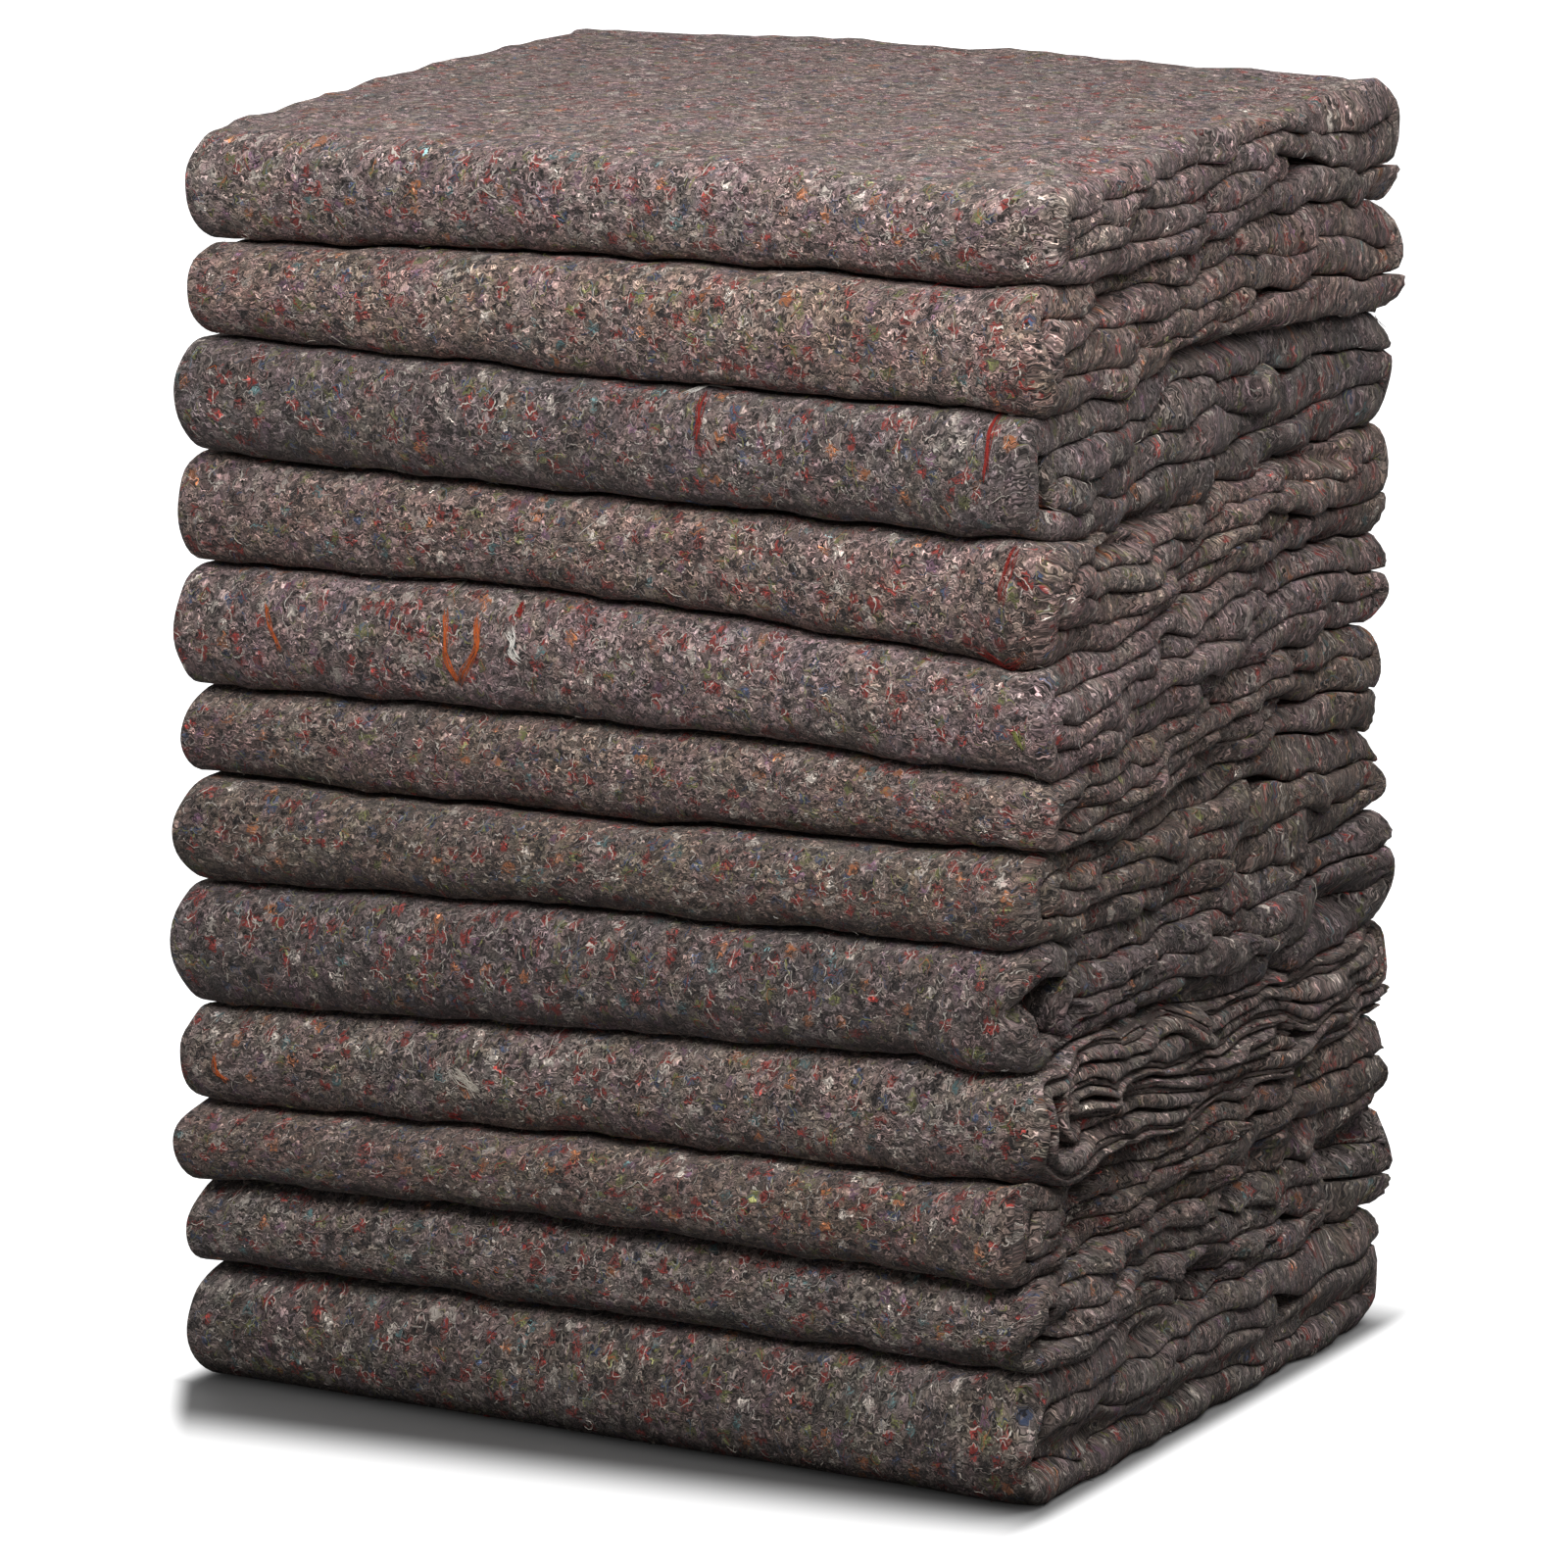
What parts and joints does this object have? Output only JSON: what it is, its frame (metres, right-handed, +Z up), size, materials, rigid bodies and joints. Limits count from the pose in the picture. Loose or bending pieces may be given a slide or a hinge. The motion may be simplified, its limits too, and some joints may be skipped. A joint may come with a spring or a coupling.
{
  "type": "stack of moving blankets",
  "caption": "Free-standing stack of folded recycled-felt moving blankets, each folded back and forth with a smooth fold in front and its layers showing at the side.",
  "frame": {"origin": "middle of the stack's footprint, on the surface that it stands on", "axes": "+Z up; X along the smooth front folds; the front folds face -Y and the layered ends that the picture shows face +X"},
  "size_m": [0.4731, 0.3944, 0.6283],
  "materials": {
    "needled_felt": "matt grey-brown recycled fibre felt flecked with red, yellow, blue, white and black threads"
  },
  "bodies": {
    "root": {"blanket_01": "needled_felt", "blanket_02": "needled_felt", "blanket_03": "needled_felt", "blanket_04": "needled_felt", "blanket_05": "needled_felt", "blanket_06": "needled_felt", "blanket_07": "needled_felt", "blanket_08": "needled_felt", "blanket_09": "needled_felt", "blanket_10": "needled_felt", "blanket_11": "needled_felt", "blanket_12": "needled_felt"}
  },
  "joints": []
}
